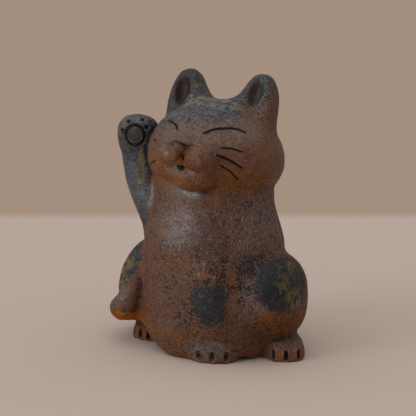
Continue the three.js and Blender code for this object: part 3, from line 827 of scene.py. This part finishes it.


# Marks of the firing, and of painted highlight, glints, bounce light and shade, as spots: strength, middle
# and radii in mm, and how soft the edge is
SPOTS = {
    "slate": (
        (1.25, (11.4, -26, 25.6), (7.3, 6, 7), 0.35),  # round spot on the belly
        (1.2, (11.8, -25, 21.6), (5.8, 6, 4.8), 0.4),
        (1.25, (34.5, -6, 31.5), (11.5, 14, 10.5), 0.3),  # left haunch
        (0.55, (24, -13, 40), (8, 8, 5), 0.7),
        (0.42, (33, -5, 9), (7, 8, 3.2), 0.6),  # left hind foot
        (1.1, (-35, -8, 33), (9, 13, 11), 0.35),  # right haunch
        (0.8, (-39, -17, 21), (6.5, 9, 5), 0.6),  # tail
        (0.75, (-5, 23, 62), (8, 9, 13), 0.6),  # back
        (0.6, (16, 24, 24), (8, 8, 6), 0.6),
    ),
    "pale": (
        (0.3, (-33, -10, 36), (9, 10, 6), 0.5),  # right haunch
        (0.2, (9, -27, 27), (4, 5, 7), 0.6),  # belly: painted highlight on the upper left of the round spot
    ),
    "olive": (
        (0.45, (-9, 0, 104), (5, 8, 7), 0.5),  # beside the right ear
        (1.1, (-27.7, -10, 73), (1.9, 5, 9), 0.3),  # raised foreleg
        (0.5, (-31.5, -9, 87), (8, 8, 7), 0.5),
        (1.05, (35, -10.5, 32.5), (2.5, 4, 4), 0.5),  # left haunch
        (1.15, (38, -5, 25.5), (5, 8, 3.8), 0.45),
        (0.5, (34, -2, 36.5), (6, 6, 4), 0.5),
        (1.1, (-34, -14, 32), (5, 6, 9), 0.4),  # right haunch
    ),
    "dust": (
        (1.1, (1, -6, 100.5), (15, 6, 4.5), 0.5),  # crown and forehead
        (0.3, (4, -14, 97), (18, 8, 6), 0.6),
        (0.3, (16, 2, 104), (5, 8, 10), 0.5),  # left ear
        (0.6, (6, 19, 91), (12, 8, 5), 0.6),  # back of the head
        (0.25, (7, -25, 38), (20, 10, 6), 0.6),  # belly
        (0.5, (11, -24, 6.5), (9, 6, 3.8), 0.5),  # left forepaw
    ),
    "ember": (
        (0.8, (-3, -27, 77.5), (8, 7, 5), 0.5),  # muzzle
        (1.3, (1, -28, 81.5), (2.6, 4, 4.5), 0.6),
        (0.5, (27, -6, 88), (8, 14, 20), 0.6),  # left cheek
        (0.3, (5, -25, 37), (20, 10, 7), 0.6),  # belly
        (1.4, (-36, -16, 9.5), (11, 16, 6.5), 0.5),  # tail
        (0.9, (-22, -16, 10), (9, 10, 7), 0.5),  # right side, low down
        (1.3, (36, -8, 16.5), (13, 14, 7), 0.4),  # left haunch, under its slate
        (0.7, (-10, 24, 33), (16, 9, 8), 0.6),  # back
        (0.8, (8, 26, 8), (22, 9, 6), 0.6),
    ),
    # orange flashing, made brighter as painted bounce light from the floor on the undersides
    "flash_and_bounce_light": (
        (1, (-31, -16, 10.5), (7, 9, 5.5), 0.6),  # tail
        (0.85, (-28.5, -9, 10), (4.5, 6, 4.5), 0.6),
        (0.4, (34, -13, 16), (9, 9, 5), 0.6),  # left haunch
        (0.42, (4, -25, 71.5), (12, 8, 3), 0.4),  # jaw
        (0.46, (20, -11, 70), (9, 10, 4.5), 0.5),
        (0.52, (1, -28, 81), (2.6, 4, 4.5), 0.6),  # muzzle
    ),
    "ash_and_highlight": (
        (0.28, (-4, -22, 58), (7, 12, 17), 0.6),  # chest, where part of the grey is painted highlight down its front
        (0.6, (25, -8, 55), (9, 14, 15), 0.6),
        (0.35, (-5.5, -28, 85), (5.5, 5, 4), 0.5),  # muzzle and lip: painted highlight on the lip, and partly on the top of the right whisker pad
        (0.6, (-2.5, -27, 77), (5, 5, 2.6), 0.6),
        (0.5, (20, -12, 92), (9, 9, 7), 0.6),  # brow, where part of the grey is painted highlight
        (0.5, (4, -18, 91), (18, 9, 6), 0.6),
        (0.9, (20.8, 1.5, 103), (2, 5, 9), 0.5),  # left ear: painted highlight, a light stripe down its front
        (0.4, (25, -17, 27), (6, 6, 7), 0.5),  # between leg and left haunch
        (0.5, (31, 2, 7), (10, 12, 4.5), 0.6),  # left hind foot
        (0.9, (10, -24, 5.5), (11, 8, 4), 0.5),  # left forepaw
        (0.55, (9, 24, 46), (13, 9, 13), 0.6),  # back
        (0.5, (-20, 22, 20), (14, 9, 5), 0.6),
    ),
    "soot": (
        (0.66, (14, -23, 34), (14, 12, 10), 0.6),  # belly and the left side
        (0.5, (8, -26, 24), (17, 10, 14), 0.7),
        (0.66, (23, -15, 33), (8, 9, 11), 0.6),
        (0.24, (3, -20, 8), (30, 14, 8), 0.6),  # low down in front
        (0.7, (-30.2, -10, 70), (1.3, 4, 9), 0.5),  # raised foreleg
    ),
    "rust": (
        (0.45, (26, 3, 99), (4.5, 9, 13), 0.35),  # left ear and cheek
        (0.25, (28, -6, 80), (10, 14, 12), 0.6),
        (0.55, (12, -26, 82.5), (5.5, 6, 5.5), 0.6),  # left whisker pad and jaw
        (0.5, (8, -25, 78), (8, 8, 6), 0.6),
        (1, (8, -23, 50), (11, 9, 9), 0.6),  # chest
        (0.4, (22, -10, 57), (9, 12, 12), 0.6),
        (0.5, (18, -20, 12), (15, 12, 10), 0.6),  # low down in front
    ),
    "char_and_shade": (
        (0.95, (-30, -10.6, 85.4), (4.6, 3, 4.6), 0.5),  # palm
        (0.45, (33, -9, 14), (12, 14, 6), 0.6),  # painted shade low on the left haunch, and darker on the slate above it
        (0.45, (32, -13, 31), (4.5, 6, 6), 0.6),
    ),
    # painted glints: light specks that stand in for highlights on the chest and face
    "painted_glint": (
        (0.42, (-4, -22, 56), (9, 10, 14), 0.7),  # chest
        (0.25, (14, -18, 52), (16, 12, 12), 0.7),
        (0.08, (14, -20, 88), (24, 14, 14), 0.7),  # face
    ),
    "gloss": (
        (1, (1, -22, 67), (5.5, 5, 3), 0.6),  # throat and jaw
        (0.5, (6, -25, 71), (13, 7, 4), 0.5),
        (0.8, (-4.5, -27, 77), (5, 5, 3), 0.5),  # lip
        (1, (4.8, -27, 76.8), (1.6, 3, 1.6), 0.5),
        (1, (-3.8, -29.3, 82.7), (2.4, 3, 2), 0.6),  # right whisker pad
        (0.7, (20, -11, 92), (8, 8, 6), 0.6),  # brow
        (0.9, (-27, -10, 62), (7, 7, 7), 0.5),  # raised foreleg
        (0.75, (-4, -22, 58), (11, 10, 14), 0.6),  # chest
        (0.6, (-32, -20, 20), (8, 7, 6), 0.5),  # tail
    ),
}
# Where the slate thins out on the left side of the head, and where the ears are darker inside
LEFT_SIDE = ((1, (31, 2, 92), (10, 18, 26), 0.3), (0.85, (21, -5, 95), (8, 9, 8), 0.6))
EAR_HOLLOWS = ((1, (-16.2, -4.5, 22.4), (4, 5, 8.2), 0.35), (0.75, (15, -4.5, 24), (3, 5, 6.2), 0.4))


def blob(p, centre, radii, soft=0.5):
    """1 inside an ellipsoid, falling to 0 over a soft edge."""
    away = np.linalg.norm((p - centre) / radii, axis=1)
    return 1 - ease(away, 1 - soft, 1 + soft)


def strongest(spots, p):
    return np.maximum.reduce([strength * blob(p, *place) for strength, *place in spots])


def kiln_marks(p):
    """Where the ashes and flame of the firing fell, and where painted highlight, glints, bounce light and
    shade go: smooth shares that the material breaks up into specks.
    """
    x, y, z = p.T
    h = in_head(p)
    on_head = ease(z, 66, 70)
    on_foreleg = ease(-x, 22.5, 26) * ease(z, 46, 56)
    thinned = 1 - 0.95 * strongest(LEFT_SIDE, p)
    crown = ease(h[:, 2] - 0.12 * h[:, 0] + 0.1 * h[:, 1], 1.0, 13.0) * on_head * thinned
    right_ear, left_ear = (blob(h, (middle, -2, 22), (9, 9, 14)) for middle in (-15, 15))
    dark_ear_hollows = strongest(EAR_HOLLOWS, h)
    broad = {
        "slate": [1.05 * crown, 1.1 * on_foreleg],
        "pale": [
            0.75 * on_foreleg * ease(-z, -80, -72),
            0.4 * on_foreleg,
            0.65 * crown * (1 - 0.6 * right_ear) * (1 - 0.4 * left_ear),
        ],
        "ember": [
            1.3 * ease(-h[:, 2] - 0.15 * h[:, 1], 2, 13) * on_head,
            0.5 * ease(-z, -20, -6) * ease(np.hypot(x, y), 14, 24),
        ],
        "soot": [0.26 * ease(z, 2, 20) * (1 - 0.65 * on_head), 0.3 * crown],
        "char_and_shade": [dark_ear_hollows],
        "gloss": [np.full(len(p), 0.15), 0.36 * on_head, 0.45 * on_foreleg],
    }
    marks = {}
    for name, spots in SPOTS.items():
        marks[name] = np.maximum.reduce([strongest(spots, p), *broad.get(name, [])])
    marks["slate"] *= 1 - 0.8 * dark_ear_hollows
    return marks


def build_figure():
    low, field, owner = sample_grid()
    number, points = net_vertices(low, field, owner)
    quads, front, back = net_faces(number, owner)
    mesh = fill_mesh("net", points, quads.ravel(), np.full(len(quads), 4))
    for name, data in (("front", front), ("back", back)):
        mesh.attributes.new(name, "INT", "FACE").data.foreach_set("value", data.astype(np.int32))
    strokes = all_strokes()
    refined(mesh, strokes)
    points, corners, starts, totals, front, back = read_mesh(mesh)
    bpy.data.meshes.remove(mesh)

    outer_corner = np.repeat(back == AIR, totals)
    outer = np.unique(corners[outer_corner])
    settle(points, outer)
    p = points[outer]
    facing = unit(slope(clay, p))
    depth, dark = press(p, strokes)
    tilt = slope(lambda q: press(q, strokes)[0], p, PRESS_STEP)
    tilt -= (tilt * facing).sum(1, keepdims=True) * facing
    normals = np.zeros_like(points)
    normals[outer] = unit(facing + tilt)
    # How open the clay is just outside each vertex: where it is closed in, the colour gets painted shade
    cover = np.clip(clay(p + CREASE_SHADE_REACH * facing) / CREASE_SHADE_REACH, 0, 1)
    points[outer] = p - depth[:, None] * facing

    # Shares for the shader: darkness in the grooves, partly painted shade, and painted shade in creases
    shares = {name: np.zeros(len(points)) for name in ("groove_tone_and_shade", "painted_crease_shade")}
    shares["groove_tone_and_shade"][outer] = dark
    shares["painted_crease_shade"][outer] = 1 - cover
    for name, share in kiln_marks(points).items():
        shares[name] = share
    return points, normals, shares, (corners, starts, totals, front, back)


def placed(name, data):
    """A new object in the scene."""
    thing = bpy.data.objects.new(name, data)
    bpy.context.scene.collection.objects.link(thing)
    return thing


def cut_piece(row, points, normals, shares, net):
    """The closed mesh of one node, from the faces that have it in front or behind."""
    corners, starts, totals, front, back = net
    chosen = np.flatnonzero((front == row) | (back == row))
    total = totals[chosen]
    first = np.repeat(starts[chosen], total)
    offset = np.arange(total.sum()) - np.repeat(np.cumsum(total) - total, total)
    flipped = np.repeat(front[chosen] != row, total)
    loops = corners[first + np.where(flipped, np.repeat(total, total) - 1 - offset, offset)]
    used, local = np.unique(loops, return_inverse=True)
    node = NODES[row]
    mesh = fill_mesh(node + "_clay", (points[used] + AXIS) * MM, local, total)
    mesh.polygons.foreach_set("use_smooth", np.ones(len(total), bool))
    for name, share in shares.items():
        made = mesh.attributes.new(name, "FLOAT", "POINT")
        made.data.foreach_set("value", share[used].astype(np.float32))
    outside = np.repeat(back[chosen] == AIR, total)
    mesh.normals_split_custom_set(np.where(outside[:, None], normals[loops], 0.0))
    return placed(node + "_clay", mesh)


# Material
class Shader:
    """Short names for the few nodes that the material uses."""

    def __init__(self, name):
        self.material = bpy.data.materials.new(name)
        self.material.use_nodes = True
        self.tree = self.material.node_tree
        self.surface = self.tree.nodes["Principled BSDF"]
        self.mm = self.vector("SCALE", self.add("TexCoord", {}, "Object"), 1 / MM)

    def put(self, socket, value):
        if isinstance(value, bpy.types.NodeSocket):
            self.tree.links.new(value, socket)
        elif socket.type == "RGBA":
            socket.default_value = (*value, 1)
        else:
            socket.default_value = value

    def add(self, kind, inputs, output=0, **settings):
        """One output of a new node, given its kind, its inputs and its settings."""
        node = self.tree.nodes.new("ShaderNode" + kind)
        for name, value in settings.items():
            setattr(node, name, value)
        for name, value in inputs.items():
            self.put(node.inputs[name], value)
        return node.outputs[output]

    def vector(self, operation, a, b):
        second = "Scale" if operation == "SCALE" else 1
        return self.add("VectorMath", {0: a, second: b}, "Vector", operation=operation)

    def along(self, a, heading):
        return self.add("VectorMath", {0: a, 1: heading}, "Value", operation="DOT_PRODUCT")

    def math(self, operation, a, b):
        return self.add("Math", {0: a, 1: b}, operation=operation)

    def ease(self, value, low, high, top=1.0):
        """0 below low and top above high, with a smooth rise between."""
        inputs = {"Value": value, "From Min": low, "From Max": high, "To Max": top}
        return self.add("MapRange", inputs, interpolation_type="SMOOTHSTEP")

    def noise(self, size, detail, roughness, offset=(0, 0, 0), combed=(1, 1, 1)):
        """Noise around 0.5, its features of about that size in mm and packed closer where it is combed."""
        place = self.vector("ADD", self.vector("MULTIPLY", self.mm, combed), offset)
        inputs = {"Vector": place, "Scale": 1 / size, "Detail": detail, "Roughness": roughness}
        return self.add("TexNoise", inputs, "Fac")

    def share(self, name):
        return self.add("Attribute", {}, "Fac", attribute_name=name)

    def mix(self, factor, a, b, blend="MIX"):
        inputs = {"Factor": factor, "A": a, "B": b}
        return self.add("Mix", inputs, "Result", data_type="RGBA", blend_type=blend)

    def bump(self, height, distance, strength, normal=None):
        inputs = {"Height": height, "Distance": distance, "Strength": strength}
        if normal is not None:
            inputs["Normal"] = normal
        return self.add("Bump", inputs, "Normal")


# Colours of the clay, of what the fire left on it, and of painted bounce light, highlight and glints, in
# linear light
CLAY = (0.122, 0.062, 0.037)
CLAY_RED = (0.130, 0.051, 0.030)
EMBER = (0.172, 0.056, 0.006)
FLASH_AND_BOUNCE_LIGHT = (0.410, 0.134, 0.010)
ASH_AND_HIGHLIGHT = (0.135, 0.098, 0.084)
RUST = (0.078, 0.026, 0.018)
SLATE = (0.013, 0.0135, 0.017)
SLATE_PALE = (0.068, 0.069, 0.080)
OLIVE = (0.120, 0.085, 0.026)
DUST = (0.190, 0.155, 0.115)
BLACK = (0.008, 0.007, 0.008)
PAINTED_SPARKLE = (0.26, 0.23, 0.21)
# What dark places keep of their colour: in the grain, in the pores, in the painted shade of creases, and
# where char and painted shade darken it
MOTTLE = (0.50, 0.46, 0.44)
PORES = (0.42, 0.38, 0.37)
SHADE = (0.34, 0.28, 0.26)
CHAR_AND_SHADE = (0.17, 0.13, 0.12)

GRAIN = 0.62  # sizes in mm
CLUSTER = 2.4
FINE_SHARE = 0.72  # of the grains in the specks, the rest being clusters


def sprinkled(s, under, over, share, seed, soft=0.16, cover=1.0, size=GRAIN):
    """One colour in specks over another: dense where the share is high, thinning out towards its edge."""
    fine = s.noise(size, 2, 0.6, (seed, 3, 29))
    cluster = s.noise(CLUSTER, 2, 0.5, (7, seed, 13))
    both = s.math("ADD", s.math("MULTIPLY", fine, FINE_SHARE), s.math("MULTIPLY", cluster, 1 - FINE_SHARE))
    lead = s.math("SUBTRACT", share, s.ease(both, 0.33, 0.67))
    return s.mix(s.ease(lead, -soft, soft, cover), under, over)


def dimmed(s, colour, keep, share):
    """The colour, brought down to what is kept of it where the share is high."""
    return s.mix(share, colour, s.mix(1.0, colour, keep, "MULTIPLY"))


def clay_colour(s, patches, mottle):
    """Two clays, reddened and flashed by the flame, with painted bounce light brightening the orange of the
    flashing, and rust, grey ashes and painted highlight over them.
    """
    colour = s.mix(s.ease(s.noise(13, 3, 0.55), 0.38, 0.62), CLAY, CLAY_RED)
    ember = s.math("ADD", s.share("ember"), s.ease(patches, 0.4, 0.7, 0.12))
    colour = sprinkled(s, colour, EMBER, ember, seed=61, soft=0.4)
    # Orange flashing, brightened as painted bounce light from the floor under the tail, haunch, jaw and
    # nose
    flash_and_bounce_light = s.math("SUBTRACT", s.math("MULTIPLY", s.share("flash_and_bounce_light"), 1.5), 0.5)
    colour = sprinkled(s, colour, FLASH_AND_BOUNCE_LIGHT, flash_and_bounce_light, seed=67, soft=0.5)
    colour = sprinkled(s, colour, RUST, s.share("rust"), seed=23, soft=0.35)
    # Grey ash, and painted highlight on the chest, lip, right whisker pad, brow and left ear
    ash_and_highlight = s.math("ADD", s.share("ash_and_highlight"), s.ease(patches, 0.35, 0.65, 0.1))
    colour = sprinkled(s, colour, ASH_AND_HIGHLIGHT, ash_and_highlight, seed=11, cover=0.8)
    return dimmed(s, colour, MOTTLE, s.ease(mottle, 0.35, 0.65, 0.4))


def slate_colour(s, colour, patches):
    """Soot, slate with its olive ashes, and pale dust, over the clay."""
    soot = s.math("MULTIPLY", s.share("soot"), s.ease(patches, 0.3, 0.6))
    colour = sprinkled(s, colour, BLACK, soot, seed=37, soft=0.08, cover=0.95, size=0.8)
    slate = s.math("ADD", s.share("slate"), s.math("MULTIPLY", s.math("SUBTRACT", patches, 0.5), 0.5))
    wiped = s.ease(s.noise(3, 3, 0.6, (9, 4, 2), combed=(1, 1, 4)), 0.35, 0.65)
    # Paler slate, and on the belly's spot a painted highlight
    pale = s.math("MULTIPLY", s.share("pale"), s.math("ADD", wiped, 0.4))
    slates = sprinkled(s, SLATE, SLATE_PALE, pale, seed=71, soft=0.4)
    colour = sprinkled(s, colour, slates, slate, seed=5, soft=0.14)
    clouds = s.ease(s.noise(3, 4, 0.6, (5, 5, 50), combed=(1, 1, 0.7)), 0.44, 0.54)
    olive = s.math("MULTIPLY", s.share("olive"), clouds)
    colour = sprinkled(s, colour, OLIVE, olive, seed=43, cover=0.85)
    dust = s.math("MULTIPLY", s.share("dust"), clouds)
    return sprinkled(s, colour, DUST, dust, seed=83, soft=0.2, cover=0.6)


def stoneware():
    s = Shader("wood_fired_stoneware")
    patches = s.noise(5, 3, 0.6, (31, 7, 5))
    mottle = s.noise(1.7, 3, 0.6, (3, 17, 9))
    grit = s.noise(GRAIN, 2, 0.6, (11, 3, 29))
    colour = slate_colour(s, clay_colour(s, patches, mottle), patches)
    colour = dimmed(s, colour, PORES, s.ease(grit, 0.46, 0.62, 0.42))
    # Painted glints: light specks in the colour that stand in for highlights
    painted_glint = s.math("MULTIPLY", s.share("painted_glint"), 0.25)
    colour = sprinkled(s, colour, PAINTED_SPARKLE, painted_glint, seed=91, soft=0.05, cover=0.6)
    # Char on the palm, darker inside the ears, and painted shade low on the left haunch
    colour = dimmed(s, colour, CHAR_AND_SHADE, s.share("char_and_shade"))
    gloss, flash_and_bounce_light = s.share("gloss"), s.share("flash_and_bounce_light")
    # Painted shade in creases and hollows, where clay lies close outside the surface, lifted where the
    # orange flash or the gloss is
    bright = s.math("MAXIMUM", flash_and_bounce_light, s.math("MULTIPLY", gloss, 0.7))
    painted_crease_shade = s.math("MULTIPLY", s.share("painted_crease_shade"), s.math("SUBTRACT", 1.0, bright))
    colour = dimmed(s, colour, SHADE, s.ease(painted_crease_shade, 0.1, 0.85, 0.75))
    # Grooves, pokes and the mouth darkened: partly their fired colour, partly painted shade in them
    mark = s.ease(s.share("groove_tone_and_shade"), 0.1, 0.9)
    s.put(s.surface.inputs["Base Color"], s.mix(mark, colour, BLACK))

    dry = s.math("SUBTRACT", 0.66, s.math("MULTIPLY", gloss, 0.42))
    rough = s.math("ADD", dry, s.ease(grit, 0.3, 0.7, 0.2))
    s.put(s.surface.inputs["Roughness"], s.math("MAXIMUM", rough, s.math("MULTIPLY", mark, 0.9)))
    level = s.math("ADD", 0.2, s.math("MULTIPLY", gloss, 0.45))
    matt = s.math("SUBTRACT", 1.0, s.math("MULTIPLY", flash_and_bounce_light, 0.8))
    s.put(s.surface.inputs["Specular IOR Level"], s.math("MULTIPLY", level, matt))
    skin = s.bump(mottle, distance=0.4 * MM, strength=0.4)
    s.put(s.surface.inputs["Normal"], s.bump(grit, distance=0.22 * MM, strength=0.6, normal=skin))
    return s.material


# Stage, light and camera
VIEW_BEARING = math.radians(28)
VIEW_RISE = math.radians(12.5)
VIEW_DISTANCE = 700.0
VIEW_SCALE = 0.397  # mm on the cat for each pixel
VIEW_RIGHT = -2.4
VIEW_HEIGHT = 57.0
FRAME_WIDTH = 416
FLOOR_COLOUR = (0.51, 0.405, 0.348)
BACK_COLOUR = (0.40, 0.288, 0.222)
FLOOR_EDGE = 236.0  # how far behind the cat the floor turns darker
FLOOR_EDGE_SOFT = 12.0
FLOOR_RADIUS = 6000.0


def direction(bearing, rise):
    """Unit vector towards a bearing, counted from the front, and a rise."""
    level = math.cos(rise)
    return np.array((math.sin(bearing) * level, -math.cos(bearing) * level, math.sin(rise)))


def aim(thing, place, target):
    thing.location = Vector(place) * MM
    thing.rotation_euler = (Vector(target) - Vector(place)).to_track_quat("-Z", "Y").to_euler()


def add_camera():
    lens = bpy.data.cameras.new("camera")
    lens.sensor_width = 36
    lens.lens = VIEW_DISTANCE / VIEW_SCALE * lens.sensor_width / FRAME_WIDTH
    lens.clip_start = 0.01
    camera = placed("camera", lens)
    right = np.array((math.cos(VIEW_BEARING), math.sin(VIEW_BEARING), 0))
    target = AXIS + VIEW_RIGHT * right + (0, 0, VIEW_HEIGHT)
    aim(camera, target + VIEW_DISTANCE * direction(VIEW_BEARING, VIEW_RISE), target)
    bpy.context.scene.camera = camera


def add_floor():
    bm = bmesh.new()
    bmesh.ops.create_circle(bm, cap_ends=True, segments=96, radius=FLOOR_RADIUS * MM)
    mesh = bpy.data.meshes.new("floor")
    bm.to_mesh(mesh)
    bm.free()
    floor = placed("floor", mesh)
    s = Shader("floor_plain")
    behind = s.along(s.mm, (-math.sin(VIEW_BEARING), math.cos(VIEW_BEARING), 0))
    edge = s.ease(behind, FLOOR_EDGE - FLOOR_EDGE_SOFT, FLOOR_EDGE + FLOOR_EDGE_SOFT)
    s.put(s.surface.inputs["Base Color"], s.mix(edge, FLOOR_COLOUR, BACK_COLOUR))
    s.put(s.surface.inputs["Roughness"], 0.9)
    s.put(s.surface.inputs["Specular IOR Level"], 0.1)
    mesh.materials.append(s.material)


def add_sun(name, bearing, rise, strength, spread, colour=(1.0, 1.0, 1.0)):
    """A lamp that shines from a bearing and a rise in degrees, with softer shadows for a wider spread."""
    lamp = bpy.data.lights.new(name, "SUN")
    lamp.energy = strength
    lamp.color = colour
    lamp.angle = math.radians(spread)
    sun = placed(name, lamp)
    towards = Vector(direction(math.radians(bearing), math.radians(rise)))
    sun.rotation_euler = towards.to_track_quat("Z", "Y").to_euler()


def add_light():
    add_sun("key", bearing=-45, rise=58, strength=1.35, spread=100)
    add_sun("window", bearing=-32, rise=17, strength=1.0, spread=28, colour=(0.86, 0.93, 1.0))
    add_sun("fill", bearing=100, rise=50, strength=0.4, spread=90)
    world = bpy.data.worlds.new("studio")
    world.use_nodes = True
    background = world.node_tree.nodes["Background"]
    background.inputs["Color"].default_value = (1.0, 0.985, 0.96, 1)
    background.inputs["Strength"].default_value = 0.38
    bpy.context.scene.world = world


def dress():
    points, normals, shares, net = build_figure()
    material = stoneware()
    for row, node in enumerate(NODES):
        piece = cut_piece(row, points, normals, shares, net)
        piece.data.materials.append(material)
        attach(piece, "root")
        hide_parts(node)


dress()
add_floor()
add_light()
add_camera()
bpy.context.scene.view_settings.view_transform = "Standard"
